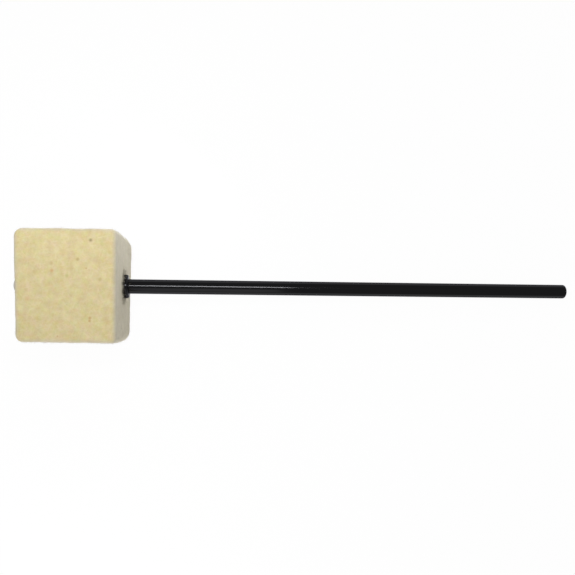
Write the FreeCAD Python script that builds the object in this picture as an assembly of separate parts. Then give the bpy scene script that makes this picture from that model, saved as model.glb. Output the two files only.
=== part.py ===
import FreeCAD, Part
import math
import os

# Bass drum beater: a block of pressed wool felt clamped on a threaded steel rod.
# The rod runs along X. x = 0 is where the straight shank ends at the domed free tip,
# and the felt head is at the -X end. Lengths are in millimetres.

# Rod
rod_diameter = 6.35
shank_length = 199.0
tip_rise = 1.0
thread_pitch = 1.27
thread_in_felt = 7.7
thread_in_nut = 5.6
thread_end_chamfer = 0.9

# Stop collar, swaged into a shallow groove of the rod
collar_wall = 2.0
collar_thickness = 2.3
collar_rim_radius = 0.7
collar_groove_depth = 0.25

# Felt block, cut from a thick pressed sheet whose faces are at its top and bottom
felt_length = 40.0
felt_width = 46.0
felt_height = 46.0
felt_corner_radius = 3.5
felt_edge_radius = 0.8
felt_bore_clearance = 0.1
felt_seat_clearance = 0.3
collar_sink = 0.4
collar_dish_flare = 2.5
washer_sink = 5.2
washer_dish_flare = 4.0
dish_lip_slope = 0.2

# Washers under the nut
washer_bore_clearance = 0.15
flat_washer_width = 4.7
flat_washer_thickness = 1.2
washer_edge_radius = 0.25
lock_washer_width = 2.7
lock_washer_thickness = 1.5
lock_washer_split = 0.8
lock_washer_split_angle = 35.0

# Dome nut
nut_thread_clearance = 0.05
nut_flat_wall = 2.33
nut_cap_wall = 1.75
nut_hex_height = 4.8
nut_crown_wall = 0.86
nut_end_gap = 0.4
nut_chamfer_angle = 30.0
drill_point_angle = 118.0

# Thread form: 60 degree flanks, with flats of an eighth of the pitch at crest and root
thread_flank_angle = 30.0
thread_flat = thread_pitch / 8
thread_depth = (thread_pitch / 2 - thread_flat) / math.tan(math.radians(thread_flank_angle))
thread_cutter_margin = thread_flat / 4

# Radii of what goes round the rod
rod_radius = rod_diameter / 2
collar_radius = rod_radius + collar_wall
collar_bore_radius = rod_radius - collar_groove_depth
felt_bore_radius = rod_radius + felt_bore_clearance
washer_bore_radius = rod_radius + washer_bore_clearance
flat_washer_radius = washer_bore_radius + flat_washer_width
lock_washer_radius = washer_bore_radius + lock_washer_width
nut_bore_radius = rod_radius + nut_thread_clearance

# Places along the rod, from the free tip to the nut's crown
collar_outer_x = -shank_length
collar_seat_x = collar_outer_x - collar_thickness
felt_rod_face_x = collar_seat_x + collar_sink
felt_nut_face_x = felt_rod_face_x - felt_length
washer_seat_x = felt_nut_face_x + washer_sink
lock_washer_seat_x = washer_seat_x - flat_washer_thickness
nut_seat_x = lock_washer_seat_x - lock_washer_thickness
rod_end_x = nut_seat_x - thread_in_nut
thread_start_x = washer_seat_x + thread_in_felt
nut_bore_end_x = rod_end_x - nut_end_gap
drill_point_x = nut_bore_end_x - nut_bore_radius / math.tan(math.radians(drill_point_angle / 2))
nut_crown_x = drill_point_x - nut_crown_wall
nut_hex_top_x = nut_seat_x - nut_hex_height

# Modelling aids: how far a cutting solid runs past a face, and how near counts as the same place
overshoot = 1.0
place_tolerance = 0.01

axis_x = FreeCAD.Vector(1, 0, 0)
axis_y = FreeCAD.Vector(0, 1, 0)
axis_z = FreeCAD.Vector(0, 0, 1)
origin = FreeCAD.Vector(0, 0, 0)


def cylinder(start_x, end_x, radius):
    """Solid cylinder on the rod's axis between two places along it."""
    low_x = min(start_x, end_x)
    return Part.makeCylinder(radius, abs(end_x - start_x), FreeCAD.Vector(low_x, 0, 0), axis_x)


def rim_at(shape, x):
    """Edges of a shape that lie in the plane square to the rod at one place."""
    rim = []
    for edge in shape.Edges:
        box = edge.BoundBox
        if abs(box.XMin - x) < place_tolerance and abs(box.XMax - x) < place_tolerance:
            rim.append(edge)
    return rim


def flat_edges(shape):
    """Edges of a shape that lie level, square to Z."""
    return [edge for edge in shape.Edges if edge.BoundBox.ZLength < place_tolerance]


def upright_edges(shape):
    """Edges of a shape that run along Z."""
    return [edge for edge in shape.Edges if edge.BoundBox.ZLength > place_tolerance]


def profile_point(x, radius):
    """Point of a turned profile, in the XY plane."""
    return FreeCAD.Vector(x, radius, 0)


def turned(profile_edges):
    """Solid of revolution about the rod's axis, from the edges of a closed profile."""
    return Part.Face(Part.Wire(profile_edges)).revolve(origin, axis_x, 360)


def turned_polygon(corners):
    """Solid of revolution from a closed polygon of (x, radius) corners."""
    points = [profile_point(x, radius) for x, radius in corners]
    points.append(points[0])
    return turned(Part.makePolygon(points).Edges)


def domed_bar(base_x, apex_x, radius, tail_x):
    """Round bar from tail_x to base_x, closed by a ball-shaped cap that rises to apex_x."""
    rise = apex_x - base_x
    ball_radius = (radius ** 2 + rise ** 2) / (2 * abs(rise))
    centre_x = apex_x - math.copysign(ball_radius, rise)
    half_angle = math.atan2(radius, abs(base_x - centre_x)) / 2
    middle = profile_point(
        centre_x + math.copysign(ball_radius * math.cos(half_angle), rise),
        ball_radius * math.sin(half_angle),
    )
    apex = profile_point(apex_x, 0)
    rim = profile_point(base_x, radius)
    tail_rim = profile_point(tail_x, radius)
    tail = profile_point(tail_x, 0)
    return turned([
        Part.Arc(apex, middle, rim).toShape(),
        Part.makeLine(rim, tail_rim),
        Part.makeLine(tail_rim, tail),
        Part.makeLine(tail, apex),
    ])


def thread_groove():
    """Right-hand helical groove that a die cuts into the rod's nut end."""
    start_radius = rod_radius - thread_depth
    crest_radius = rod_radius + thread_cutter_margin
    root_half = thread_flat / 2
    crest_half = root_half + (crest_radius - start_radius) * math.tan(math.radians(thread_flank_angle))
    lead_in = thread_pitch
    helix = Part.makeLongHelix(thread_pitch, thread_start_x - rod_end_x + lead_in, rod_radius)
    corners = [
        FreeCAD.Vector(start_radius, 0, root_half),
        FreeCAD.Vector(crest_radius, 0, crest_half),
        FreeCAD.Vector(crest_radius, 0, -crest_half),
        FreeCAD.Vector(start_radius, 0, -root_half),
    ]
    section = Part.makePolygon(corners + corners[:1])
    groove = Part.Wire(helix.Edges).makePipeShell([section], True, True)
    groove.rotate(origin, axis_y, 90)
    groove.translate(FreeCAD.Vector(rod_end_x - lead_in, 0, 0))
    return groove


def make_beater_rod():
    """Rod with a domed free tip, a groove for the collar and a chamfered, threaded end."""
    bar = domed_bar(0, tip_rise, rod_radius, rod_end_x)
    bar = bar.makeChamfer(thread_end_chamfer, rim_at(bar, rod_end_x))
    groove = cylinder(collar_seat_x, collar_outer_x, rod_radius + overshoot)
    groove = groove.cut(cylinder(collar_seat_x, collar_outer_x, collar_bore_radius))
    return bar.cut(groove).cut(thread_groove())


def make_stop_collar():
    """Collar with a rounded outer rim on the rod side, line to line in the rod's groove."""
    ring = cylinder(collar_seat_x, collar_outer_x, collar_radius)
    ring = ring.makeFillet(collar_rim_radius, rim_at(ring, collar_outer_x))
    return ring.cut(cylinder(collar_seat_x - overshoot, collar_outer_x + overshoot, collar_bore_radius))


def dish(seat_x, face_x, seat_radius, flare):
    """Recess pressed into the felt: a flat seat whose wall turns out into a wide soft lip."""
    mouth_radius = seat_radius + flare
    outside_x = face_x + (face_x - seat_x)
    turn_x = face_x - dish_lip_slope * (face_x - seat_x)
    seat_rim = profile_point(seat_x, seat_radius)
    mouth = profile_point(face_x, mouth_radius)
    lip = Part.BezierCurve()
    lip.setPoles([seat_rim, profile_point(turn_x, seat_radius), mouth])
    outside_rim = profile_point(outside_x, mouth_radius)
    outside = profile_point(outside_x, 0)
    seat = profile_point(seat_x, 0)
    return turned([
        Part.makeLine(seat, seat_rim),
        lip.toShape(),
        Part.makeLine(mouth, outside_rim),
        Part.makeLine(outside_rim, outside),
        Part.makeLine(outside, seat),
    ])


def make_felt_head():
    """Felt block with round corners and eased edges, a bore for the rod and a dish at each end."""
    block = Part.makeBox(
        felt_length, felt_width, felt_height,
        FreeCAD.Vector(felt_nut_face_x, -felt_width / 2, -felt_height / 2),
    )
    block = block.makeFillet(felt_corner_radius, upright_edges(block))
    block = block.makeFillet(felt_edge_radius, flat_edges(block))
    bore = cylinder(felt_nut_face_x - overshoot, felt_rod_face_x + overshoot, felt_bore_radius)
    collar_dish = dish(
        collar_seat_x, felt_rod_face_x, collar_radius + felt_seat_clearance, collar_dish_flare
    )
    washer_dish = dish(
        washer_seat_x, felt_nut_face_x, flat_washer_radius + felt_seat_clearance, washer_dish_flare
    )
    return block.cut(bore).cut(collar_dish).cut(washer_dish)


def washer_bore():
    """Hole through both washers for the rod."""
    return cylinder(washer_seat_x + overshoot, nut_seat_x - overshoot, washer_bore_radius)


def make_flat_washer():
    """Stamped flat washer with rounded edges on the side away from the felt."""
    ring = cylinder(washer_seat_x, lock_washer_seat_x, flat_washer_radius)
    ring = ring.makeFillet(washer_edge_radius, rim_at(ring, lock_washer_seat_x))
    return ring.cut(washer_bore())


def make_lock_washer():
    """Spring washer with a slanted split, pressed flat under the nut."""
    ring = cylinder(lock_washer_seat_x, nut_seat_x, lock_washer_radius)
    slant = math.radians(lock_washer_split_angle)
    reach = (lock_washer_thickness / 2 + lock_washer_split) / math.cos(slant) + overshoot
    blade = Part.makeBox(
        2 * reach, lock_washer_split, lock_washer_radius + overshoot,
        FreeCAD.Vector(-reach, -lock_washer_split / 2, 0),
    )
    blade.rotate(origin, axis_z, lock_washer_split_angle)
    blade.translate(FreeCAD.Vector((lock_washer_seat_x + nut_seat_x) / 2, 0, 0))
    return ring.cut(washer_bore()).cut(blade)


def hex_prism(start_x, end_x, flat_radius):
    """Hexagonal bar on the rod's axis, with a flat on top."""
    corner_radius = flat_radius / math.cos(math.radians(30))
    corners = []
    for step in range(6):
        angle = math.radians(60 * step)
        corners.append(
            FreeCAD.Vector(start_x, corner_radius * math.cos(angle), corner_radius * math.sin(angle))
        )
    face = Part.Face(Part.makePolygon(corners + corners[:1]))
    return face.extrude(FreeCAD.Vector(end_x - start_x, 0, 0))


def make_dome_nut():
    """Closed nut: a hexagon with turned corners under a ball-shaped crown, drilled from its seat."""
    flat_radius = nut_bore_radius + nut_flat_wall
    turning_rise = nut_hex_height / 2
    turning_radius = flat_radius + turning_rise / math.tan(math.radians(nut_chamfer_angle))
    corner_turning = turned_polygon([
        (nut_seat_x, 0),
        (nut_seat_x, flat_radius),
        (nut_seat_x - turning_rise, turning_radius),
        (nut_hex_top_x, flat_radius),
        (nut_hex_top_x, 0),
    ])
    hexagon = hex_prism(nut_seat_x, nut_hex_top_x, flat_radius).common(corner_turning)
    cap_radius = nut_bore_radius + nut_cap_wall
    crown = domed_bar(nut_hex_top_x, nut_crown_x, cap_radius, nut_hex_top_x + turning_rise)
    drilling = turned_polygon([
        (nut_seat_x + overshoot, 0),
        (nut_seat_x + overshoot, nut_bore_radius),
        (nut_bore_end_x, nut_bore_radius),
        (drill_point_x, 0),
    ])
    return hexagon.fuse(crown).cut(drilling).removeSplitter()


def main():
    """Build every piece and write it to its own file."""
    pieces = {
        "beater_rod": make_beater_rod(),
        "stop_collar": make_stop_collar(),
        "felt_head": make_felt_head(),
        "flat_washer": make_flat_washer(),
        "lock_washer": make_lock_washer(),
        "dome_nut": make_dome_nut(),
    }
    os.makedirs("parts", exist_ok=True)
    for name, shape in pieces.items():
        solids = shape.Solids
        print(name, "solids", len(solids), "valid", shape.isValid(), "volume", round(shape.Volume, 2))
        shape.exportStep("parts/" + name + ".step")


main()
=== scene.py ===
"""Bass drum beater: a block of pressed wool felt clamped on a black steel rod.

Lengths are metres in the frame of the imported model. The rod lies along X with its free tip at +X, and
the pressed faces of the felt look along +Z and -Z. The picture looks down on the +Z face.
"""

import logging
import math
from collections.abc import Sequence
from dataclasses import dataclass
from enum import Enum
from functools import cached_property
from typing import Any, ClassVar

import bpy
import numpy as np
from mathutils import Euler, Matrix, Vector
from numpy.typing import NDArray


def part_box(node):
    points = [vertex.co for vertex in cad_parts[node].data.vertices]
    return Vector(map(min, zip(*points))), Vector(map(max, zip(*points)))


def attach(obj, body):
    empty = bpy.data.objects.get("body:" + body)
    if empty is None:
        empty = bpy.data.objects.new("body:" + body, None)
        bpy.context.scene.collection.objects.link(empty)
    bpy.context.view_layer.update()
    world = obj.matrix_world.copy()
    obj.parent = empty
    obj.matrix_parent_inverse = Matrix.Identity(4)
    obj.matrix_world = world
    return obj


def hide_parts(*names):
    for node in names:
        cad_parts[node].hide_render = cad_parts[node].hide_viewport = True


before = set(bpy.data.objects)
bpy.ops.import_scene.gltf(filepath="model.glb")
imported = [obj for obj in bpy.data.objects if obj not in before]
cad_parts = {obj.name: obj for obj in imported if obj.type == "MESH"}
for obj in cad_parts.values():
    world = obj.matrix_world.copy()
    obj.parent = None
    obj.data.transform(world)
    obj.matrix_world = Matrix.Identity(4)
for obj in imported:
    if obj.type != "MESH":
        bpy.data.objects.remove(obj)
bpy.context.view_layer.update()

log = logging.getLogger("beater")

Array = NDArray[np.float64]
Pair = tuple[float, float]
Triple = tuple[float, float, float]
Material = bpy.types.Material
Socket = bpy.types.NodeSocket
Thing = bpy.types.Object
Tree = bpy.types.NodeTree

MM = 0.001
# Keeps a division from meeting zero
TINY = 1e-15
# Angle between two faces from which their edge stays sharp
CREASE_ANGLE = math.radians(32)
# Most of an edge that the easing of one corner takes up
EASING_SHARE = 0.45
WHITE = "#FFFFFF"
# Values that a noise node seldom leaves
NOISE_SPAN = (0.3, 0.7)
# Attribute of the felt that says how much pressed skin is left
SKIN = "skin"


class Body(Enum):
    """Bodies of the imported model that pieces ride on."""

    ROD = "rod"
    HEAD = "head"
    WASHERS = "washers"
    NUT = "nut"


class Slot(Enum):
    """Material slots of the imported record."""

    BLACK_STEEL = "black_steel"
    WOOL_FELT = "wool_felt"
    BRIGHT_PLATE = "bright_plate"


@dataclass(frozen=True)
class Extent:
    """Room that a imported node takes: its ends along the rod and its half sizes across it."""

    nut_end: float
    tip_end: float
    half_width: float
    half_height: float

    @classmethod
    def of(cls, node: str) -> "Extent":
        """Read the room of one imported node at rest."""
        low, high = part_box(node)
        return cls(low.x, high.x, high.y, high.z)

    def stepped(self, outside: float, inside: float) -> Array:
        """Profile that steps from one radius to another and back at this room's ends, as 4 x 1 x 2."""
        return profile_rows(np.repeat([self.nut_end, self.tip_end], 2), [outside, inside, inside, outside])


# Meshes


def mesh_object(name: str, points: Array, faces: list[list[int]]) -> Thing:
    """Put points and faces into a new object at the origin, smooth apart from sharp creases.

    Args:
        name: Name of the piece.
        points: Points as count x 3.
        faces: Corner numbers of each face, counter-clockwise from outside.

    Returns:
        The object, linked to the scene.
    """
    mesh = bpy.data.meshes.new(name)
    mesh.from_pydata(points.tolist(), [], faces)
    mesh.shade_smooth()
    mesh.set_sharp_from_angle(angle=CREASE_ANGLE)
    piece = bpy.data.objects.new(name, mesh)
    bpy.context.scene.collection.objects.link(piece)
    return piece


def surface(
    name: str, grid: Array, closed: bool = False, start: Array | None = None, end: Array | None = None
) -> Thing:
    """Make an object from a grid of points whose columns go all the way round the rod.

    Each cell is a quad. The last column joins the first, the last row joins the first where the
    profile is closed, and a pole shuts the open rim of the first or last row with a fan.

    Args:
        name: Name of the piece.
        grid: Points as rows x columns x 3, with the rows along the profile.
        closed: Whether the profile comes back to its first row.
        start: Pole before the first row.
        end: Pole after the last row.

    Returns:
        The object.
    """
    rows, columns = grid.shape[:2]
    index = np.arange(rows * columns).reshape(rows, columns)
    here = np.vstack([index, index[:1]]) if closed else index
    ahead = np.roll(here, -1, axis=1)
    faces = np.stack([here[:-1], ahead[:-1], ahead[1:], here[1:]], axis=-1).reshape(-1, 4).tolist()
    points = [grid.reshape(-1, 3)]
    pole = np.full(columns, rows * columns)
    if start is not None:
        faces += np.stack([pole, ahead[0], here[0]], axis=-1).tolist()
        points.append(start[None])
        pole = pole + 1
    if end is not None:
        faces += np.stack([here[-1], ahead[-1], pole], axis=-1).tolist()
        points.append(end[None])
    return mesh_object(name, np.concatenate(points), faces)


def full_turn(columns: int) -> Array:
    """Evenly spaced angles of one turn about the rod, from +Y towards +Z."""
    return np.linspace(0, 2 * math.pi, columns, endpoint=False)


def turned(profile: Array, angles: Array) -> Array:
    """Carry a profile round the rod: (x, r) becomes x, r cos(angle), r sin(angle) in each column."""
    x, radius = np.broadcast_arrays(profile[..., 0], profile[..., 1] + 0 * angles)
    return np.stack([x, radius * np.cos(angles), radius * np.sin(angles)], axis=-1)


def paired(x: Any, radius: Any) -> Array:
    """Places along the rod and radii as pairs on a last axis."""
    return np.stack(np.broadcast_arrays(x, radius), axis=-1)


def profile_rows(x: Any, radius: Any) -> Array:
    """Rows of a round profile, as rows x 1 x 2, from places along the rod and radii."""
    return paired(x, radius).reshape(-1, 1, 2).astype(float)


def on_axis(x: float) -> Array:
    """Point on the rod's axis."""
    return np.array([x, 0.0, 0.0])


def unit(vectors: Array) -> Array:
    """Vectors brought to a length of 1."""
    return vectors / np.maximum(np.linalg.norm(vectors, axis=-1, keepdims=True), TINY)


def eased(corners: Array, easing: Sequence[float], steps: int) -> Array:
    """Round the inner corners of a profile.

    A corner P becomes the curve (1-t)^2 A + 2t(1-t) P + t^2 B, where A and B lie on the two edges that
    meet there, at the easing distance from P but never past EASING_SHARE of an edge.

    Args:
        corners: Corners x columns x 2 of (x, radius). The first and last only give a direction.
        easing: Easing distance of each inner corner.
        steps: Rows of each curve.

    Returns:
        Rows x columns x 2.
    """
    corner = corners[1:-1]
    reach = np.asarray(easing, float)[:, None, None]

    def towards(neighbour: Array) -> Array:
        """Point on the edge to a neighbour at the easing distance."""
        edge = neighbour - corner
        return corner + edge * np.minimum(reach / np.linalg.norm(edge, axis=-1, keepdims=True), EASING_SHARE)

    start, end = towards(corners[:-2])[:, None], towards(corners[2:])[:, None]
    t = np.linspace(0, 1, steps)[None, :, None, None]
    curves = (1 - t) ** 2 * start + 2 * t * (1 - t) * corner[:, None] + t ** 2 * end
    return curves.reshape(-1, *corners.shape[1:])


def eased_ring(room: Extent, bore: float, rim: float, easing: Sequence[float], steps: int) -> Array:
    """Closed profile of a ring, eased at its nut end's bore and rim and then its tip end's rim and bore."""
    ring = room.stepped(bore, rim)
    return eased(np.concatenate([ring[-1:], ring, ring[:1]]), easing, steps)


def ball_cap(apex: float, rise: float, radius: float, shares: Array) -> Array:
    """Profile of a ball-shaped cap: where it rises h over a circle r, its ball measures (r^2 + h^2) / 2h.

    Args:
        apex: Place of the apex.
        rise: Rise of the cap along X, below 0 where it rises towards -X.
        radius: Radius of the circle.
        shares: Angle of each row off the axis, in shares of the circle's.

    Returns:
        Rows x 1 x 2 of (x, radius).
    """
    ball = (radius ** 2 + rise ** 2) / (2 * rise)
    angles = math.acos(1 - rise / ball) * shares
    return profile_rows(apex - ball * (1 - np.cos(angles)), abs(ball) * np.sin(angles))


def smooth_step(low: float, high: float, value: Array) -> Array:
    """Rise from 0 at low to 1 at high along 3t^2 - 2t^3."""
    t = np.clip((value - low) / (high - low), 0, 1)
    return t * t * (3 - 2 * t)


def lumps(points: Array, wavelength: float, height: float, seed: int) -> Array:
    """Smooth random height at each point: a sum of cosine waves in random directions.

    Args:
        points: Points with three coordinates on the last axis.
        wavelength: Usual distance between two lumps.
        height: Usual height of a lump.
        seed: Seed of the draw.

    Returns:
        Height at each point.
    """
    waves, shortest, longest = 24, 0.7, 1.6
    draw = np.random.default_rng(seed)
    directions = unit(draw.normal(size=(waves, 3)))
    lengths = wavelength * draw.uniform(shortest, longest, (waves, 1))
    phases = draw.uniform(0, 2 * math.pi, waves)
    angles = points @ (directions * (2 * math.pi / lengths)).T + phases
    return height * np.cos(angles).sum(axis=-1) * math.sqrt(2 / waves)


# Materials


def linear(hex_colour: str) -> tuple[float, ...]:
    """Turn an sRGB hex colour such as #D8CA9A into linear red, green and blue with an alpha of 1."""
    shares = [int(hex_colour[at:at + 2], 16) / 255 for at in (1, 3, 5)]
    return *(s / 12.92 if s <= 0.04045 else ((s + 0.055) / 1.055) ** 2.4 for s in shares), 1.0


def add_node(tree: Tree, kind: str, inputs: dict[str, Any] | Sequence[Any] = (), **settings: Any) -> Any:
    """Add one node to a tree, with its settings, values and links.

    Args:
        tree: Node tree of a material or world.
        kind: Type name of the node, without its ShaderNode prefix.
        inputs: Values of the input sockets, by name or in the node's order. An output socket is linked.
        **settings: Properties of the node itself.

    Returns:
        The node's output sockets.
    """
    node = tree.nodes.new("ShaderNode" + kind)
    for name, value in settings.items():
        setattr(node, name, value)
    for key, value in inputs.items() if isinstance(inputs, dict) else enumerate(inputs):
        if isinstance(value, Socket):
            tree.links.new(value, node.inputs[key])
        else:
            node.inputs[key].default_value = value
    return node.outputs


def per_metre(size_mm: float) -> float:
    """Texture scale whose pattern repeats about every so many millimetres."""
    return 1 / (size_mm * MM)


def streaks(tree: Tree, place: Socket, size_mm: Pair, turn: Triple = (0, 0, 0), **noise: float) -> Socket:
    """Noise drawn out along one direction, as fibres, draw lines and scratches are.

    Args:
        tree: Node tree of the material.
        place: Object coordinates.
        size_mm: Usual length and width of a streak.
        turn: Turn of the streaks from X, in degrees about each axis.
        **noise: Other inputs of the noise.

    Returns:
        Socket of the noise.
    """
    length, width = (size * MM for size in size_mm)
    rotation = [math.radians(angle) for angle in turn]
    along = add_node(tree, "Mapping", {
        "Vector": place, "Rotation": rotation, "Scale": (length, width, width),
    }, vector_type="TEXTURE")[0]
    return add_node(tree, "TexNoise", {"Vector": along, "Scale": 1.0, **noise})["Fac"]


def highest(tree: Tree, values: Sequence[Socket]) -> Socket:
    """Highest of several values, by a chain of nodes.

    Args:
        tree: Node tree of a material or world.
        values: Sockets of the values.

    Returns:
        Socket of the highest value.
    """
    top, *others = values
    for other in others:
        top = add_node(tree, "Math", [top, other], operation="MAXIMUM")[0]
    return top


def seen_directly(tree: Tree) -> Socket:
    """Switch that is 1 for rays from the camera, off gloss and through glass, and 0 for lighting rays."""
    path = add_node(tree, "LightPath")
    return highest(tree, [path[f"Is {kind} Ray"] for kind in ("Camera", "Glossy", "Transmission")])


class Finish:
    """A real material, named for what it is and how its surface was made."""

    name: ClassVar[str]

    def shader(self, tree: Tree) -> Socket:
        """Build the shader, which each finish does in its own way."""
        raise NotImplementedError

    def material(self) -> Material:
        """Build the material.

        Returns:
            The material with this finish's shader.
        """
        material = bpy.data.materials.new(self.name)
        material.use_nodes = True
        material.node_tree.nodes.clear()
        add_node(material.node_tree, "OutputMaterial", [self.shader(material.node_tree)])
        return material


@dataclass(frozen=True)
class Fleck:
    """Clot of dyed fibre in the upper skin: its place and radius in mm, its colour and its strength."""

    x: float
    y: float
    radius: float
    colour: str
    strength: float


@dataclass(frozen=True)
class PressedWoolFelt(Finish):
    """Wool felt pressed into a thick sheet and cut with a saw."""

    # Pressing gives the eye a matte cream skin, cloudy and flecked, and the saw leaves greyer sides.
    name: ClassVar[str] = "pressed_wool_felt"
    face_height: float
    skin: str = "#D9CA9B"
    cut: str = "#C3BDAD"
    fleck_brown: str = "#7A5A3C"
    fleck_orange: str = "#C98A4E"
    flecks: tuple[Fleck, ...] = (
        Fleck(-211.2, 17.7, 0.95, "#7C6A3E", 0.62),
        Fleck(-216.1, 9.9, 0.95, "#A98A52", 0.5),
        Fleck(-226.1, 5.2, 1.0, "#D0A070", 0.68),
        Fleck(-226.3, 8.2, 1.1, "#BFA468", 0.4),
        Fleck(-207.2, 1.9, 1.0, "#BDB070", 0.6),
        Fleck(-220.2, 3.2, 1.0, "#BFB478", 0.6),
        Fleck(-235.2, -6.2, 1.5, "#D3A873", 0.4),
        Fleck(-210.9, -13.6, 0.8, "#C0935A", 0.7),
        Fleck(-211.0, -14.7, 0.75, "#C0935A", 0.7),
    )
    cloud_mm: float = 3.0
    cloud_detail: float = 4.0
    cloud_roughness: float = 0.62
    hue_mm: float = 2.2
    hue_range: Pair = (0.485, 0.515)
    richness_mm: float = 2.9
    richness_roughness: float = 0.7
    richness_range: Pair = (0.885, 1.115)
    # Span of the clouds and fibres added up, and their usual value
    pattern_span: Pair = (0.8, 1.35)
    pattern_usual: float = 1.08
    # The pattern that raises the bumps also sets the colour, partly as the felt's own mottle and partly as
    # painted light and shade: lighter, paler and warmer on its high parts, darker and yellower in its
    # hollows.
    mottle_and_shade_range: Pair = (0.903, 1.092)
    paling_range: Pair = (1.078, 0.922)
    warming: float = 0.2
    # Wool fibres are about 0.03 mm thick; they are drawn coarser, so that they show at arm's length.
    fibre_mm: Pair = (3.2, 0.34)
    fibre_turns: tuple[float, ...] = (15.0, 75.0, 135.0)
    fibre_curl: float = 0.35
    fleck_spacing_mm: float = 6.0
    fleck_radius_mm: float = 0.42
    fleck_strength: float = 0.45
    # Shares of their radius over which small flecks and clots are at their full strength
    fleck_core: float = 0.4
    clot_core: float = 0.2
    bump_mm: float = 0.16
    bump_strength: float = 0.6
    roughness: float = 0.95
    specular: float = 0.15
    sheen: float = 0.18
    sheen_roughness: float = 0.5

    def shader(self, tree: Tree) -> Socket:
        """Build the shader: one pattern of clouds and fibres gives the colour and the bumps.

        Args:
            tree: Node tree of the material.

        Returns:
            Socket of the shader.
        """
        place = add_node(tree, "TexCoord")["Object"]
        cloud = add_node(tree, "TexNoise", {
            "Vector": place, "Scale": per_metre(self.cloud_mm),
            "Detail": self.cloud_detail, "Roughness": self.cloud_roughness,
        })["Fac"]
        fibres = highest(tree, [
            streaks(tree, place, self.fibre_mm, (0, 0, turn), Distortion=self.fibre_curl)
            for turn in self.fibre_turns
        ])
        pattern = add_node(tree, "Math", [cloud, fibres], operation="ADD")[0]
        bump = add_node(tree, "Bump", {
            "Strength": self.bump_strength, "Distance": self.bump_mm * MM, "Height": pattern,
        })[0]
        return add_node(tree, "BsdfPrincipled", {
            "Base Color": self.flecked(tree, place, self.clouded(tree, place, pattern)),
            "Roughness": self.roughness, "Specular IOR Level": self.specular, "Sheen Weight": self.sheen,
            "Sheen Roughness": self.sheen_roughness, "Sheen Tint": linear(self.skin), "Normal": bump,
        })[0]

    def clouded(self, tree: Tree, place: Socket, pattern: Socket) -> Socket:
        """Cream on the pressed faces and grey on the cut ones, clouded in tone, hue and richness, with
        painted light and shade that follow the bumps.

        Args:
            tree: Node tree of the material.
            place: Object coordinates.
            pattern: Clouds and fibres added up.

        Returns:
            Socket of the colour.
        """
        skin = add_node(tree, "Attribute", attribute_name=SKIN)["Fac"]
        base = add_node(tree, "MixRGB", [skin, linear(self.cut), linear(self.skin)])[0]
        # Tone and paling follow the bumps' pattern: the felt's own mottle, with painted light on the high
        # parts and painted shade in the hollows.
        tone, paling = (
            add_node(tree, "MapRange", [pattern, *self.pattern_span, *limits])[0]
            for limits in (self.mottle_and_shade_range, self.paling_range)
        )
        shades = add_node(tree, "TexNoise", {"Vector": place, "Scale": per_metre(self.hue_mm)})["Fac"]
        # Painted light: the bumps' high parts are warmed in hue.
        warmed = add_node(tree, "Math", [pattern, -self.warming, shades], operation="MULTIPLY_ADD")[0]
        warmed_span = [limit - self.warming * self.pattern_usual for limit in NOISE_SPAN]
        hue = add_node(tree, "MapRange", [warmed, *warmed_span, *self.hue_range])[0]
        yellows = add_node(tree, "TexNoise", {
            "Vector": place, "Scale": per_metre(self.richness_mm),
            "Detail": self.cloud_detail, "Roughness": self.richness_roughness,
        })["Fac"]
        richness = add_node(tree, "MapRange", [yellows, *NOISE_SPAN, *self.richness_range])[0]
        saturation = add_node(tree, "Math", [richness, paling], operation="MULTIPLY")[0]
        return add_node(tree, "HueSaturation", {
            "Hue": hue, "Saturation": saturation, "Value": tone, "Color": base,
        })[0]

    def flecked(self, tree: Tree, place: Socket, colour: Socket) -> Socket:
        """Lay flecks of dyed fibre over the wool: small ones all over, and clots on the upper face.

        Args:
            tree: Node tree of the material.
            place: Object coordinates.
            colour: Colour of the wool.

        Returns:
            Socket of the colour.
        """
        cells = add_node(tree, "TexVoronoi", {"Vector": place, "Scale": per_metre(self.fleck_spacing_mm)})
        radius = self.fleck_radius_mm / self.fleck_spacing_mm
        share = add_node(tree, "MapRange", [
            cells["Distance"], self.fleck_core * radius, radius, self.fleck_strength, 0.0,
        ])[0]
        draw = add_node(tree, "SeparateColor", [cells["Color"]])["Red"]
        dye = add_node(tree, "MixRGB", [draw, linear(self.fleck_brown), linear(self.fleck_orange)])[0]
        colour = add_node(tree, "MixRGB", [share, colour, dye])[0]
        for clot in self.flecks:
            radius = clot.radius * MM
            middle = (clot.x * MM, clot.y * MM, self.face_height)
            reach = add_node(tree, "VectorMath", [place, middle], operation="DISTANCE")["Value"]
            core = self.clot_core * radius
            share = add_node(tree, "MapRange", [reach, core, radius, clot.strength, 0.0])[0]
            colour = add_node(tree, "MixRGB", [share, colour, linear(clot.colour)])[0]
        return colour


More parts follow.
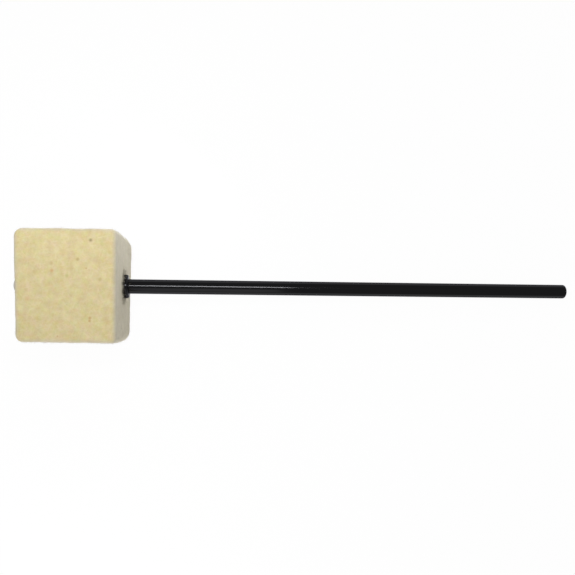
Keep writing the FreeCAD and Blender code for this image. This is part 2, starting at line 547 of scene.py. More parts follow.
@dataclass(frozen=True)
class BlackChromedSteel(Finish):
    """Drawn steel bar under a plating of black chrome."""

    # Polished before plating, it is a dark mirror to the eye, with faint lengthwise draw lines.
    name: ClassVar[str] = "black_chromed_steel"
    chrome: str = "#2F2F31"
    draw_line: str = "#373738"
    # Black chrome drinks up half of the light at grazing angles too, so its edges stay dark.
    edge_tint: str = "#B8B8BA"
    # Draw lines are a few hundredths of a millimetre wide; they are drawn coarser, so that they show.
    line_mm: Pair = (38.0, 0.45)
    line_detail: float = 3.0
    peel_mm: float = 1.1
    peel_height_mm: float = 0.002
    peel_strength: float = 0.5
    roughness_range: Pair = (0.08, 0.16)

    def shader(self, tree: Tree) -> Socket:
        """Build the shader: draw lines give the colour and polish, and the plating has a faint orange peel.

        Args:
            tree: Node tree of the material.

        Returns:
            Socket of the shader.
        """
        place = add_node(tree, "TexCoord")["Object"]
        lines = streaks(tree, place, self.line_mm, Detail=self.line_detail)
        peel = add_node(tree, "TexNoise", {"Vector": place, "Scale": per_metre(self.peel_mm)})["Fac"]
        bump = add_node(tree, "Bump", {
            "Strength": self.peel_strength, "Distance": self.peel_height_mm * MM, "Height": peel,
        })[0]
        return add_node(tree, "BsdfPrincipled", {
            "Base Color": add_node(tree, "MixRGB", [lines, linear(self.chrome), linear(self.draw_line)])[0],
            "Metallic": 1.0,
            "Roughness": add_node(tree, "MapRange", [lines, *NOISE_SPAN, *self.roughness_range])[0],
            "Specular Tint": linear(self.edge_tint), "Normal": bump,
        })[0]


@dataclass(frozen=True)
class BrightNickelPlate(Finish):
    """Steel hardware, tumbled and nickel plated."""

    # Tumbling and plating give the eye a bright warm metal with a slightly hazy polish.
    name: ClassVar[str] = "nickel_plated_steel"
    plate: str = "#B9B5AA"
    haze: str = "#A19C91"
    haze_mm: float = 1.8
    haze_detail: float = 3.0
    # Tumbling scratches are far finer; they are drawn coarser, so that they show.
    scratch_mm: Pair = (4.0, 0.2)
    scratch_turn: Triple = (25.0, 35.0, 50.0)
    roughness_range: Pair = (0.16, 0.32)

    def shader(self, tree: Tree) -> Socket:
        """Build the shader: haze gives the colour, and scratches the polish.

        Args:
            tree: Node tree of the material.

        Returns:
            Socket of the shader.
        """
        place = add_node(tree, "TexCoord")["Object"]
        haze = add_node(tree, "TexNoise", {
            "Vector": place, "Scale": per_metre(self.haze_mm), "Detail": self.haze_detail,
        })["Fac"]
        scratches = streaks(tree, place, self.scratch_mm, self.scratch_turn)
        return add_node(tree, "BsdfPrincipled", {
            "Base Color": add_node(tree, "MixRGB", [haze, linear(self.plate), linear(self.haze)])[0],
            "Metallic": 1.0,
            "Roughness": add_node(tree, "MapRange", [scratches, *NOISE_SPAN, *self.roughness_range])[0],
        })[0]


@dataclass(frozen=True)
class MatteWhitePaper(Finish):
    """Matte white paper of the floor."""

    # It glows to the eye, so that only a faint shadow is left on it.
    name: ClassVar[str] = "matte_white_paper"
    white: str = "#FCFCFC"
    glow: float = 0.965

    def shader(self, tree: Tree) -> Socket:
        """Build the shader: plain paper to the light, and mostly glow to the eye.

        Args:
            tree: Node tree of the material.

        Returns:
            Socket of the shader.
        """
        paper = add_node(tree, "BsdfDiffuse", [linear(self.white)])[0]
        glow = add_node(tree, "Emission", [linear(WHITE), 1.0])[0]
        share = add_node(tree, "Math", [seen_directly(tree), self.glow], operation="MULTIPLY")[0]
        return add_node(tree, "MixShader", [share, paper, glow])[0]


# Sub-assemblies


@dataclass(frozen=True)
class Piece:
    """A built piece, the body it rides on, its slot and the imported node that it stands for."""

    thing: Thing
    body: Body
    slot: Slot
    node: str | None = None

    def dress(self, material: Material) -> None:
        """Give the piece its material and tie it to the frame.

        Args:
            material: Finish of the whole piece.
        """
        self.thing.data.materials.append(material)
        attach(self.thing, self.body.value)
        if self.node is not None:
            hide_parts(self.node)
        log.info("%s: %d faces on %s", self.thing.name, len(self.thing.data.polygons), self.body.value)


@dataclass(frozen=True)
class RodAssembly:
    """Rod with a domed free tip and a cut thread, and the stop collar swaged onto it."""

    rod: Extent
    collar: Extent
    thread_start: float
    tip_rise: float = 1.0 * MM
    rim_easing: float = 0.7 * MM
    end_chamfer: float = 0.9 * MM
    thread_pitch: float = 1.27 * MM
    thread_depth: float = 0.8 * MM
    # Half height of the groove's cosine in shares of the depth: past a half, crest and root are flat
    thread_wave: float = 0.54
    groove_depth: float = 0.25 * MM
    collar_rim: float = 0.95 * MM
    collar_edge: float = 0.12 * MM
    # How far the collar's free face stands out where it is swaged least, at +Y, and most, at -Y
    collar_slant: Pair = (0.1 * MM, 0.6 * MM)
    columns: int = 96
    row_spacing: float = 4.0 * MM
    rows_per_pitch: int = 14
    rim_rows: int = 8
    collar_rows: int = 7
    cap_rows: int = 12
    # Shares of the cap's half angle at its first and last row
    cap_span: Pair = (0.6, 0.05)

    @property
    def radius(self) -> float:
        """Radius of the plain shank."""
        return self.rod.half_height

    @property
    def thread_end(self) -> float:
        """Place where the thread has run out."""
        return self.thread_start + self.thread_pitch

    @cached_property
    def angles(self) -> Array:
        """Angle of each column."""
        return full_turn(self.columns)

    def threaded(self) -> Array:
        """Profile of the threaded stretch.

        The radius drops by the thread's depth along a right-hand helix. Across one pitch the groove is a
        cosine with its top and bottom cut off flat, and it fades out over the last pitch. The end chamfer
        limits the radius.

        Returns:
            Rows x columns x 2 of (x, radius).
        """
        begin, end = self.rod.nut_end, self.thread_end
        count = round((end - begin) / self.thread_pitch * self.rows_per_pitch)
        x = np.linspace(begin, end, count)[:, None]
        phase = 2 * math.pi * x / self.thread_pitch - self.angles
        groove = np.clip(0.5 + self.thread_wave * np.cos(phase), 0, 1)
        fade = 1 - smooth_step(self.thread_start - self.thread_pitch, end, x)
        chamfer = self.radius - self.end_chamfer + (x - begin)
        return paired(x, np.minimum(self.radius - self.thread_depth * groove * fade, chamfer))

    def tip(self) -> Array:
        """Profile of the free end: an eased rim, then a ball-shaped cap.

        Returns:
            Rows x 1 x 2 of (x, radius), up to but not at the apex.
        """
        shares = np.linspace(*self.cap_span, self.cap_rows)
        cap = ball_cap(self.rod.tip_end, self.tip_rise, self.radius, shares)
        shank_end = self.rod.tip_end - self.tip_rise
        shank = profile_rows([shank_end - self.row_spacing, shank_end], self.radius)
        rim = eased(np.concatenate([shank, cap[:1]]), [self.rim_easing], self.rim_rows)
        return np.concatenate([rim, cap])

    def build_rod(self) -> Thing:
        """Build the rod: thread, collar groove, shank and tip, row after row along X.

        Returns:
            The rod.
        """
        step, radius = self.row_spacing, self.radius
        profiles = [
            self.threaded(),
            profile_rows(np.arange(self.thread_end + step, self.collar.nut_end, step), radius),
            self.collar.stepped(radius, radius - self.groove_depth),
            profile_rows(np.arange(self.collar.tip_end + step, -step / 2, step), radius),
            self.tip(),
        ]
        grid = np.concatenate([turned(rows, self.angles) for rows in profiles])
        return surface("chromed_rod", grid, start=on_axis(self.rod.nut_end), end=on_axis(self.rod.tip_end))

    def build_collar(self) -> Thing:
        """Build the collar: a ring with a soft outer rim, seated in the rod's groove.

        It was swaged unevenly, so its free face stands out by a + (b - a) (1 - y / R) / 2, from a at +Y to
        b at -Y.

        Returns:
            The collar.
        """
        room, edge = self.collar, self.collar_edge
        easing = [edge, edge, self.collar_rim, edge]
        ring = eased_ring(room, self.radius - self.groove_depth, room.half_height, easing, self.collar_rows)
        grid = turned(ring, self.angles)
        least, most = self.collar_slant
        slant = least + (most - least) * (0.5 - grid[..., 1] / (2 * room.half_height))
        grid[..., 0] += slant * smooth_step(room.nut_end, room.tip_end, grid[..., 0])
        return surface("swaged_collar", grid, closed=True)

    def dress(self, chrome: Material) -> None:
        """Build both pieces and plate them."""
        for thing, node in ((self.build_rod(), "beater_rod"), (self.build_collar(), "stop_collar")):
            Piece(thing, Body.ROD, Slot.BLACK_STEEL, node).dress(chrome)


@dataclass(frozen=True)
class FeltHead:
    """Block of felt, cut by hand from a thick sheet, with a bore and the dents of collar and washer."""

    block: Extent
    collar: Extent
    washer: Extent
    bore_radius: float
    seat_clearance: float = 0.3 * MM
    collar_flare: float = 2.5 * MM
    washer_flare: float = 4.0 * MM
    lip_slope: float = 0.2
    edge_radius: float = 0.7 * MM
    # Share of the long edges' radius that is lost at an end face
    edge_loss: float = 0.7
    # Radii in mm at the -Z and +Z face: of the rod end's edges along Y, and of the four upright corners at
    # the nut or rod end on the -Y or +Y side. They change towards -Z by this power of the distance.
    rod_edge_radii: Pair = (0.7, 1.8)
    corner_radii: tuple[tuple[Pair, Pair], ...] = (((2.85, 2.85), (3.7, 3.7)), ((4.6, 2.4), (4.6, 2.3)))
    radius_power: int = 3
    # How far the saw missed each corner, as (x, y) in mm: nut or rod end, -Y or +Y side, -Z or +Z face
    saw_misses: tuple[Any, ...] = (
        (((0.5, -1.5), (1.38, -0.25)), ((-0.2, -0.2), (-0.44, -0.84))),
        (((-0.2, -1.95), (0.5, -0.72)), ((0.25, -0.2), (-0.06, -0.55))),
    )
    # Border where the pressed skin wore off: it is bare at the first distance inside the edge and whole at
    # the second. At the rod end the saw tore more of it away than along the other three edges.
    torn_border: Pair = (-0.3 * MM, 2.3 * MM)
    worn_border: Pair = (-0.8 * MM, 1.8 * MM)
    # Least part of a face's direction that is along Z where it counts as pressed
    pressed_slope: float = 0.5
    # The felt swells up round the collar, a third of the flare out from its seat, with creases across
    swelling: float = 0.45 * MM
    swelling_width: float = 1.3 * MM
    swelling_place: float = 1 / 3
    pucker_count: int = 13
    pucker_depth: float = 0.5 * MM
    pucker_wander: float = 9.0 * MM
    # Usual length and height of the block's lumps, large and small
    lump_waves: tuple[Pair, ...] = ((14.0 * MM, 0.05 * MM), (4.0 * MM, 0.025 * MM))
    # The grid's columns along a flat side and round a long edge, and its rows along each stretch
    side_columns: int = 76
    corner_columns: int = 5
    fillet_rows: int = 22
    side_rows: int = 70
    face_rows: int = 42
    lip_rows: int = 15
    seat_rows: int = 8
    bore_rows: int = 12
    # Fibres of the nap: their lean and further bend in degrees, and their lengths in shares of the usual one
    nap_fibres: int = 12000
    nap_length: float = 0.9 * MM
    nap_radius: float = 0.022 * MM
    nap_taper: float = 0.8
    nap_jitter: float = 0.3 * MM
    nap_lean: Pair = (35.0, 80.0)
    nap_bend: Pair = (-35.0, 45.0)
    nap_spread: Pair = (0.4, 1.3)
    # Fibres stand where there is more than this share of wear, and on the swelling, which has so many times
    # more of them to the area, and longer ones
    nap_wear: float = 0.5
    nap_crowd: float = 20.0
    nap_tuft: float = 0.8
    seed: int = 41

    @cached_property
    def angles(self) -> Array:
        """Angles of the columns: even steps along each flat side and round each long edge.

        Returns:
            Rising angles from +Y towards +Z.
        """
        half, edge = self.block.half_width, self.edge_radius
        flat = half - edge
        side = np.arctan2(np.linspace(-flat, flat, self.side_columns), half)
        turn = np.linspace(0, math.pi / 2, self.corner_columns + 2)[1:-1]
        corner = np.arctan2(flat + edge * np.sin(turn), flat + edge * np.cos(turn))
        quarters = math.pi / 2 * np.arange(4)[:, None]
        return (quarters + np.append(side, corner)).ravel()

    def outline(self, x: Array) -> Array:
        """Polar radius of the block's cross-section: a rectangle with round corners.

        Near an end face each side draws in along a quarter circle: R - sqrt(R^2 - (R - e)^2) at the
        distance e from the face. A ray meets a flat side at half size / cos, and a round corner where it
        cuts the corner's circle.

        Args:
            x: Places along the rod, as rows x 1.

        Returns:
            Radius as rows x columns.
        """
        from_nut, from_tip = x - self.block.nut_end, self.block.tip_end - x
        nut_side, depth = from_nut < from_tip, np.minimum(from_nut, from_tip)
        across, up = (np.maximum(np.abs(wave(self.angles)), TINY) for wave in (np.cos, np.sin))
        back = 0.5 - 0.5 * np.sin(self.angles) / np.maximum(across, up)

        def inset(radius: Array) -> Array:
            """How far a side draws in at this depth."""
            missing = np.clip(radius - depth, 0, radius)
            return radius - np.sqrt(radius ** 2 - missing ** 2)

        def along_z(radii: Pair) -> Array:
            """Radius at each column, changing ever faster from the +Z face towards the -Z face."""
            return MM * (radii[1] + (radii[0] - radii[1]) * back ** self.radius_power)

        nut_corner, rod_corner = (
            np.where(np.cos(self.angles) > 0, along_z(upper), along_z(lower))
            for lower, upper in self.corner_radii
        )
        face_radius = np.where(nut_side, self.edge_radius, along_z(self.rod_edge_radii))
        face_inset = inset(face_radius)
        half_y = self.block.half_width - inset(np.where(nut_side, nut_corner, rod_corner))
        half_z = self.block.half_height - face_inset
        edge = self.edge_radius * (1 - self.edge_loss * face_inset / face_radius)
        centre_y, centre_z = half_y - edge, half_z - edge
        along_ray = centre_y * across + centre_z * up
        off_ray = centre_y ** 2 + centre_z ** 2 - along_ray ** 2
        corner = along_ray + np.sqrt(np.maximum(edge ** 2 - off_ray, 0))
        on_side = half_y * up / across <= centre_z
        on_face = half_z * across / up <= centre_y
        return np.where(on_side, half_y / across, np.where(on_face, half_z / up, corner))

    def dent(self, seat_x: float, face_x: float, ring: Extent, flare: float) -> tuple[Array, Array]:
        """Profile of the dent that a ring leaves in the felt, from its lip in to its seat.

        The lip is the curve (1-t)^2 M + 2t(1-t) T + t^2 S from the mouth M to the seat's rim S, with T
        above the rim.

        Args:
            seat_x: Place of the flat seat.
            face_x: Place of the end face.
            ring: Room of the ring.
            flare: How much wider the mouth is than the seat.

        Returns:
            Places along the rod and radii.
        """
        seat_radius = ring.half_height + self.seat_clearance
        t = np.linspace(0, 1, self.lip_rows)
        turn_x = face_x - self.lip_slope * (face_x - seat_x)
        lip_x = (1 - t) ** 2 * face_x + 2 * t * (1 - t) * turn_x + t ** 2 * seat_x
        lip_radius = seat_radius + (1 - t) ** 2 * flare
        seat = np.linspace(seat_radius, self.bore_radius, self.seat_rows)[1:]
        return np.append(lip_x, np.full_like(seat, seat_x)), np.append(lip_radius, seat)

    @cached_property
    def plain(self) -> Array:
        """Block before it is worn: one closed profile carried round the rod.

        The profile runs along the outside, in over the rod-side face, down the collar's dent, through the
        bore, up the washer's dent and out over the nut-side face. On the end faces the radius passes from
        the dent's mouth to the block's outline in even shares.

        Returns:
            Points as rows x columns x 3.
        """
        nut_x, tip_x = self.block.nut_end, self.block.tip_end
        deepest = MM * np.max(self.corner_radii)
        fillet = deepest * (1 - np.sin(np.linspace(math.pi / 2, 0, self.fillet_rows)))
        straight = np.linspace(nut_x + deepest, tip_x - deepest, self.side_rows)[1:-1]
        outside = np.concatenate([nut_x + fillet, straight, tip_x - fillet[::-1]])
        collar_x, collar_r = self.dent(self.collar.nut_end, tip_x, self.collar, self.collar_flare)
        washer_x, washer_r = self.dent(self.washer.tip_end, nut_x, self.washer, self.washer_flare)
        bore_x = np.linspace(self.collar.nut_end, self.washer.tip_end, self.bore_rows)[1:-1]
        face_share = np.linspace(1, 0, self.face_rows)[1:-1]
        # Each stretch as its place along the rod, its radius by the rod and its share of the outline
        stretches = [
            (outside, 0.0, 1.0),
            (tip_x, collar_r[0], face_share),
            (collar_x, collar_r, 0.0),
            (bore_x, self.bore_radius, 0.0),
            (washer_x[::-1], washer_r[::-1], 0.0),
            (nut_x, washer_r[0], face_share[::-1]),
        ]
        rows = np.concatenate([np.broadcast_arrays(*stretch) for stretch in stretches], axis=1)
        x, ring, share = rows[..., None]
        return turned(paired(x, (1 - share) * ring + share * self.outline(x)), self.angles)

    @cached_property
    def normals(self) -> Array:
        """Outward direction at each point: the cross product of the grid's two directions there."""
        around, along = (np.roll(self.plain, -1, axis) - np.roll(self.plain, 1, axis) for axis in (1, 0))
        return unit(np.cross(around, along))

    @cached_property
    def reach(self) -> Array:
        """Distance of each point from the rod's axis."""
        return np.hypot(self.plain[..., 1], self.plain[..., 2])

    @cached_property
    def outer(self) -> Array:
        """Share of wear at each point: none in the dents and the bore, all of it at the outside."""
        mouth = self.washer.half_height + self.seat_clearance + self.washer_flare
        return smooth_step(mouth, self.block.half_height, self.reach)

    @cached_property
    def swollen(self) -> Array:
        """Share of the swelling that the collar's pressure leaves round it: a bell exp(-t^2) across the lip.

        Returns:
            Share at each point.
        """
        lip = self.collar.half_height + self.seat_clearance + self.collar_flare * self.swelling_place
        bell = np.exp(-((self.reach - lip) / self.swelling_width) ** 2)
        return bell * smooth_step(self.collar.nut_end, self.block.tip_end, self.plain[..., 0])

    @cached_property
    def skin(self) -> Array:
        """Share of pressed skin: all of it on the +Z and -Z faces, worn off along their edges.

        Returns:
            Share at each point, from 0 on cut felt to 1 on the pressed face.
        """
        x, y = self.plain[..., 0], self.plain[..., 1]
        pressed = self.outer * (np.abs(self.normals[..., 2]) > self.pressed_slope)
        worn_sides = smooth_step(*self.worn_border, self.block.half_width - np.abs(y))
        worn_end = smooth_step(*self.worn_border, x - self.block.nut_end)
        return pressed * worn_sides * worn_end * smooth_step(*self.torn_border, self.block.tip_end - x)

    def saw_shift(self) -> Array:
        """Shift of each point because the block isn't cut square.

        The shifts of the eight corners are mixed by how near a point is to each corner: the product of
        its shares along X, Y and Z.

        Returns:
            Shift of each point.
        """
        low = np.array([self.block.nut_end, -self.block.half_width, -self.block.half_height])
        high = np.array([self.block.tip_end, self.block.half_width, self.block.half_height])
        share = np.clip((self.plain - low) / (high - low), 0, 1)
        near = np.moveaxis(np.stack([1 - share, share]), -1, 0)
        shift = np.einsum("i...,j...,k...,ijkm->...m", *near, MM * np.array(self.saw_misses))
        return np.concatenate([shift, np.zeros_like(shift[..., :1])], axis=-1)

    @cached_property
    def worn(self) -> Array:
        """Block as it is: cut askew, uneven all over, and swollen and creased round the collar.

        The creases are a cosine that goes round the rod and is taken off the swelling. Its phase wanders a
        little, so that no two creases are alike.

        Returns:
            Points as rows x columns x 3.
        """
        uneven = sum(lumps(self.plain, *wave, self.seed + turn) for turn, wave in enumerate(self.lump_waves))
        worn = self.plain + self.outer[..., None] * (self.saw_shift() + uneven[..., None] * self.normals)
        phase = lumps(self.plain, self.pucker_wander, 1.0, self.seed + 3)
        pucker = 0.5 + 0.5 * np.cos(self.pucker_count * self.angles + phase)
        worn[..., 0] += self.swollen * (self.swelling - self.pucker_depth * pucker)
        return worn

    def paint_skin(self, piece: Thing, skin: Array) -> None:
        """Store the share of pressed skin at each point of a piece, for the felt's colour."""
        attribute = piece.data.attributes.new(SKIN, "FLOAT", "POINT")
        attribute.data.foreach_set("value", skin.astype(np.float32))

    def build_block(self) -> Thing:
        """Build the block of felt."""
        block = surface("felt_block", self.worn, closed=True)
        self.paint_skin(block, self.skin.ravel())
        return block

    def build_nap(self) -> Thing:
        """Build the loose fibres that stand off the felt: bent spikes with three sides.

        A fibre starts just under a random point of the outside or of the swelling round the collar, leans
        over at a random angle and bends further at half its length. Its rings are three points about its
        direction.

        Returns:
            One object with all fibres.
        """
        count = self.nap_fibres
        draw = np.random.default_rng(self.seed + 2)
        around, along = (np.linalg.norm(np.roll(self.worn, -1, axis) - self.worn, axis=-1) for axis in (1, 0))
        weight = (around * along * ((self.outer > self.nap_wear) + self.nap_crowd * self.swollen)).ravel()
        roots = draw.choice(weight.size, count, p=weight / weight.sum())
        normal = self.normals.reshape(-1, 3)[roots]
        jitter = self.nap_jitter * draw.uniform(-1, 1, (count, 3))
        jitter -= normal * (jitter * normal).sum(axis=1, keepdims=True)
        root = self.worn.reshape(-1, 3)[roots] + jitter - 2 * self.nap_radius * normal
        side = unit(np.cross(normal, draw.normal(size=(count, 3))))
        lean = np.radians(draw.uniform(*self.nap_lean, (count, 1)))
        bend = lean + np.radians(draw.uniform(*self.nap_bend, (count, 1)))
        half = self.nap_length / 2 * draw.uniform(*self.nap_spread, (count, 1))
        half *= 1 + self.nap_tuft * self.swollen.reshape(-1, 1)[roots]
        first, second = (np.cos(angle) * normal + np.sin(angle) * side for angle in (lean, bend))
        middle = root + half * first
        across = unit(np.cross(first, normal))
        third = 2 * math.pi / 3 * np.arange(3)[:, None, None]
        ring = self.nap_radius * (np.cos(third) * across + np.sin(third) * np.cross(first, across))
        rings = [root + ring, middle + self.nap_taper * ring, (middle + half * second)[None]]
        points = np.concatenate(rings).transpose(1, 0, 2)
        # Faces of one fibre: three quads between its rings, then its root and the three sides of its tip
        walls = [[0, 1, 4, 3], [1, 2, 5, 4], [2, 0, 3, 5]]
        ends = [[0, 2, 1], [3, 4, 6], [4, 5, 6], [5, 3, 6]]
        corners = points.shape[1]
        start = corners * np.arange(count)[:, None, None]
        faces = [f for part in (walls, ends) for f in (start + part).reshape(-1, len(part[0])).tolist()]
        nap = mesh_object("felt_nap", points.reshape(-1, 3), faces)
        self.paint_skin(nap, np.repeat(self.skin.ravel()[roots], corners))
        return nap

    def dress(self, felt: Material) -> None:
        """Args:
            felt: Finish of both.
        """
        block = self.build_block()
        Piece(block, Body.HEAD, Slot.WOOL_FELT, "felt_head").dress(felt)
        Piece(self.build_nap(), Body.HEAD, Slot.WOOL_FELT).dress(felt)


@dataclass(frozen=True)
class NutStack:
    """Flat washer, spring washer and dome nut that clamp the felt against the collar."""

    flat_washer: Extent
    lock_washer: Extent
    nut: Extent
    rod_radius: float
    rod_end: float
    washer_clearance: float = 0.15 * MM
    washer_edge: float = 0.25 * MM
    split: float = 0.8 * MM
    split_angle: float = math.radians(35)
    nut_clearance: float = 0.05 * MM
    hex_height: float = 4.8 * MM
    cap_wall: float = 1.75 * MM
    chamfer_angle: float = math.radians(30)
    chamfer_share: float = 0.95
    corner_easing: float = 0.2 * MM
    edge_easing: float = 0.12 * MM
    end_gap: float = 0.4 * MM
    drill_angle: float = math.radians(59)
    # Share of the bore's radius at the last row before the drill point
    drill_stop: float = 0.1
    columns: int = 144
    washer_rows: int = 6
    spring_rows: int = 5
    edge_rows: int = 4
    dome_rows: int = 24
    # Shares of the dome's half angle at its first and last row
    dome_span: Pair = (0.04, 0.97)

    @cached_property
    def angles(self) -> Array:
        """Angle of each column."""
        return full_turn(self.columns)

    def washer_section(self, room: Extent, rim: float, rows: int) -> Array:
        """Closed profile of a washer's ring with eased edges, as rows x 1 x 2."""
        return eased_ring(room, self.rod_radius + self.washer_clearance, rim, [self.washer_edge] * 4, rows)

    def build_flat_washer(self) -> Thing:
        """Build the flat washer: a stamped ring with eased edges."""
        section = self.washer_section(self.flat_washer, self.flat_washer.half_height, self.washer_rows)
        return surface("plain_washer", turned(section, self.angles), closed=True)

    def build_lock_washer(self) -> Thing:
        """Build the spring washer: a ring's section carried from one end of a slanted split to the other.

        A point at the height x and radius r starts where the split's one wall crosses it, y = x tan(slant)
        less half the split's width / cos(slant), and ends at the other wall.

        Returns:
            The washer.
        """
        room = self.lock_washer
        section = self.washer_section(room, room.half_width, self.spring_rows)
        x, radius = section[..., 0], section[..., 1]
        slanted = (x - (room.nut_end + room.tip_end) / 2) * math.tan(self.split_angle)
        half_gap = self.split / 2 / math.cos(self.split_angle)
        begin = math.pi / 2 - np.arcsin((slanted - half_gap) / radius)
        finish = math.pi / 2 - np.arcsin((slanted + half_gap) / radius) + 2 * math.pi
        grid = turned(section, begin + np.linspace(0, 1, self.columns) * (finish - begin))
        index = np.arange(grid[..., 0].size).reshape(grid.shape[:2])
        below = np.roll(index, -1, axis=0)
        walls = np.stack([index[:, :-1], index[:, 1:], below[:, 1:], below[:, :-1]], axis=-1)
        ends = [index[:, 0].tolist(), index[::-1, -1].tolist()]
        return mesh_object("spring_washer", grid.reshape(-1, 3), walls.reshape(-1, 4).tolist() + ends)

    def hexagon(self) -> Array:
        """Polar radius of a hexagon with eased corners and a flat square to +Z.

        A ray meets a flat at its half width / cos, and an eased corner where it cuts the corner's circle.

        Returns:
            Radius at each column.
        """
        flat, easing, sector = self.nut.half_height, self.corner_easing, math.pi / 6
        off_flat = np.abs(np.mod(self.angles, 2 * sector) - sector)
        off_corner = sector - off_flat
        centre = (flat - easing) / math.cos(sector)
        inside = np.maximum(easing ** 2 - (centre * np.sin(off_corner)) ** 2, 0)
        corner = centre * np.cos(off_corner) + np.sqrt(inside)
        on_flat = flat * np.tan(off_flat) <= (flat - easing) * math.tan(sector)
        return np.where(on_flat, flat / np.cos(off_flat), corner)

    def build_nut(self) -> Thing:
        """Build the dome nut: ball-shaped crown, shoulder, hexagon with turned corners, seat and bore.

        The turned chamfers meet the hexagon at a height of (hexagon radius - chamfer circle) tan(angle),
        so those two rows rise and fall round the nut.

        Returns:
            The nut.
        """
        seat, crown = self.nut.tip_end, self.nut.nut_end
        hex_top = seat - self.hex_height
        bore = self.rod_radius + self.nut_clearance
        cap = bore + self.cap_wall
        dome = ball_cap(crown, crown - hex_top, cap, np.linspace(*self.dome_span, self.dome_rows))
        side = self.hexagon()
        circle = self.chamfer_share * self.nut.half_height
        drop = (side - circle) * math.tan(self.chamfer_angle)
        bore_end = self.rod_end - self.end_gap
        drill_depth = bore / math.tan(self.drill_angle)
        lines = [
            dome[-1, 0],
            (hex_top, cap),
            (hex_top, circle),
            (hex_top + drop, side),
            (seat - drop, side),
            (seat, circle),
            (seat, bore + self.washer_clearance),
            (seat - self.washer_clearance, bore),
            (bore_end, bore),
            (bore_end - (1 - self.drill_stop) * drill_depth, self.drill_stop * bore),
        ]
        corners = np.stack([paired(x, radius + 0 * self.angles) for x, radius in lines])
        easing = [self.edge_easing] * (len(lines) - 2)
        rows = [dome[:-1], eased(corners, easing, self.edge_rows), corners[-1:]]
        grid = np.concatenate([turned(part, self.angles) for part in rows])
        return surface("crown_nut", grid, start=on_axis(crown), end=on_axis(bore_end - drill_depth))

    def dress(self, plate: Material) -> None:
        """Build the three pieces and plate them."""
        pieces = (
            Piece(self.build_flat_washer(), Body.WASHERS, Slot.BRIGHT_PLATE, "flat_washer"),
            Piece(self.build_lock_washer(), Body.WASHERS, Slot.BRIGHT_PLATE, "lock_washer"),
            Piece(self.build_nut(), Body.NUT, Slot.BRIGHT_PLATE, "dome_nut"),
        )
        for piece in pieces:
            piece.dress(plate)


@dataclass(frozen=True)
class Lamp:
    """Soft rectangular lamp, placed from the felt's middle and aimed at the rod so far along it from there.

    Its share is how much of the full light it gives a face that is square to it.
    """

    name: str
    place: Triple
    size: Pair
    share: float
    aim: float = 0.0
    mirrored: bool = False
    tone: str = WHITE

    def build(self, middle: Vector) -> None:
        """Add the lamp: a face at distance d that gets the share s of full light needs s pi^2 d^2 watts.

        Args:
            middle: Middle of the felt.
        """
        beam = Vector((self.aim, 0.0, 0.0)) - Vector(self.place)
        data = bpy.data.lights.new(self.name, "AREA")
        data.shape = "RECTANGLE"
        data.size, data.size_y = self.size
        data.energy = self.share * math.pi ** 2 * beam.length_squared
        data.color = linear(self.tone)[:3]
        lamp = bpy.data.objects.new(self.name, data)
        lamp.location = middle + Vector(self.place)
        lamp.rotation_euler = beam.to_track_quat("-Z", "Y").to_euler()
        lamp.visible_camera = False
        lamp.visible_glossy = self.mirrored
        bpy.context.scene.collection.objects.link(lamp)


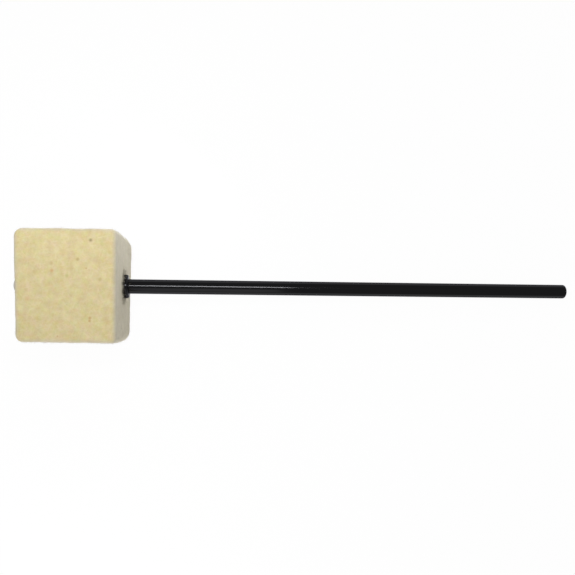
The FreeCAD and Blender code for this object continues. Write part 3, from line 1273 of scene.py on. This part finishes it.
@dataclass(frozen=True)
class Studio:
    """White floor, soft light and the camera, which looks down on the beater."""

    block: Extent
    rod_radius: float
    rod_tip: float
    ambient: float = 0.505
    ceiling: float = 0.28
    # Heights of a reflected direction, as shares of straight up, between which the ceiling sets in
    ceiling_span: Pair = (0.0, 0.2)
    floor_size: float = 4.0
    # Three lamps light the felt's front, rod side and lower edge, and two show in the rod beside the felt
    lamps: tuple[Lamp, ...] = (
        Lamp("felt_lamp", (0.0, 0.09, 0.09), (0.05, 0.05), 0.26),
        Lamp("side_lamp", (0.05, 0.06, 0.012), (0.03, 0.03), 0.23, tone="#F4F8FF"),
        Lamp("fill_lamp", (-0.04, -0.25, 0.025), (0.1, 0.1), 0.46),
        Lamp("gloss_lamp", (0.05, 0.066, 0.33), (0.15, 0.036), 0.255, aim=0.05, mirrored=True),
        Lamp("low_lamp", (0.05, -0.3, 0.26), (0.15, 0.36), 0.05, aim=0.05, mirrored=True),
    )
    # Camera: its turns from straight down about X, Y and Z, the last of them made first, and where the felt's
    # middle stands in its own axes
    camera_turns: Triple = (math.radians(2.0), math.radians(-5.78), math.radians(0.7))
    felt_sight: Triple = (-91.3 * MM, 0.72 * MM, -294.6 * MM)
    sensor_mm: float = 36.0
    image_pixels: float = 575.0
    focal_pixels: float = 680.0

    @property
    def felt_middle(self) -> Vector:
        """Middle of the felt block."""
        return Vector(((self.block.nut_end + self.block.tip_end) / 2, 0.0, 0.0))

    def set_camera(self) -> None:
        """Place the camera so that the felt's middle stands at its sight, and set its focal length."""
        data = bpy.data.cameras.new("camera")
        data.sensor_width = self.sensor_mm
        data.lens = self.focal_pixels / self.image_pixels * self.sensor_mm
        camera = bpy.data.objects.new("camera", data)
        turn = Euler(self.camera_turns, "ZYX").to_matrix()
        place = self.felt_middle - turn @ Vector(self.felt_sight)
        camera.matrix_world = Matrix.Translation(place) @ turn.to_4x4()
        bpy.context.scene.collection.objects.link(camera)
        bpy.context.scene.camera = camera

    def set_world(self) -> None:
        """White surroundings to the eye, a dim ceiling over them for gloss, and soft light for the rest."""
        world = bpy.data.worlds.new("studio")
        world.use_nodes = True
        tree = world.node_tree
        tree.nodes.clear()
        light, white, dim = (
            add_node(tree, "Background", [linear(WHITE), strength])[0]
            for strength in (self.ambient, 1.0, self.ceiling)
        )
        height = add_node(tree, "SeparateXYZ", [add_node(tree, "TexCoord")["Generated"]])["Z"]
        overhead = add_node(tree, "MapRange", [height, *self.ceiling_span, 0.0, 1.0])[0]
        glossy = add_node(tree, "LightPath")["Is Glossy Ray"]
        dimmed = add_node(tree, "Math", [overhead, glossy], operation="MULTIPLY")[0]
        seen = add_node(tree, "MixShader", [dimmed, white, dim])[0]
        mixed = add_node(tree, "MixShader", [seen_directly(tree), light, seen])[0]
        add_node(tree, "OutputWorld", [mixed])
        bpy.context.scene.world = world

    def lay_floor(self) -> None:
        """Lay the floor under the felt's lower rod-side edge and the rod's tip, where the beater rests."""
        edge = Vector((self.block.tip_end, 0.0, -self.block.half_height))
        tip = Vector((self.rod_tip, 0.0, -self.rod_radius))
        along = (tip - edge).normalized()
        across = Vector((0.0, 1.0, 0.0))
        half = self.floor_size / 2
        corners = [
            edge + half * (step_x * along + step_y * across)
            for step_x, step_y in ((-1, -1), (1, -1), (1, 1), (-1, 1))
        ]
        floor = mesh_object("floor", np.array(corners), [[0, 1, 2, 3]])
        floor.data.materials.append(MatteWhitePaper().material())

    def build(self) -> None:
        """Set the camera, the world, the floor and the lamps."""
        self.set_camera()
        self.set_world()
        self.lay_floor()
        for lamp in self.lamps:
            lamp.build(self.felt_middle)
        bpy.context.scene.view_settings.view_transform = "Standard"


def main() -> None:
    """Build the studio and every sub-assembly of the beater."""
    logging.basicConfig(level=logging.INFO, format="%(message)s")
    rod, collar, block = Extent.of("beater_rod"), Extent.of("stop_collar"), Extent.of("felt_head")
    washer, spring, nut = Extent.of("flat_washer"), Extent.of("lock_washer"), Extent.of("dome_nut")
    thread_in_felt = 7.7 * MM
    bore_clearance = 0.1 * MM
    Studio(block, rod.half_height, rod.tip_end).build()
    RodAssembly(rod, collar, washer.tip_end + thread_in_felt).dress(BlackChromedSteel().material())
    FeltHead(block, collar, washer, rod.half_height + bore_clearance).dress(
        PressedWoolFelt(block.half_height).material()
    )
    NutStack(washer, spring, nut, rod.half_height, rod.nut_end).dress(BrightNickelPlate().material())


if __name__ == "__main__":
    main()
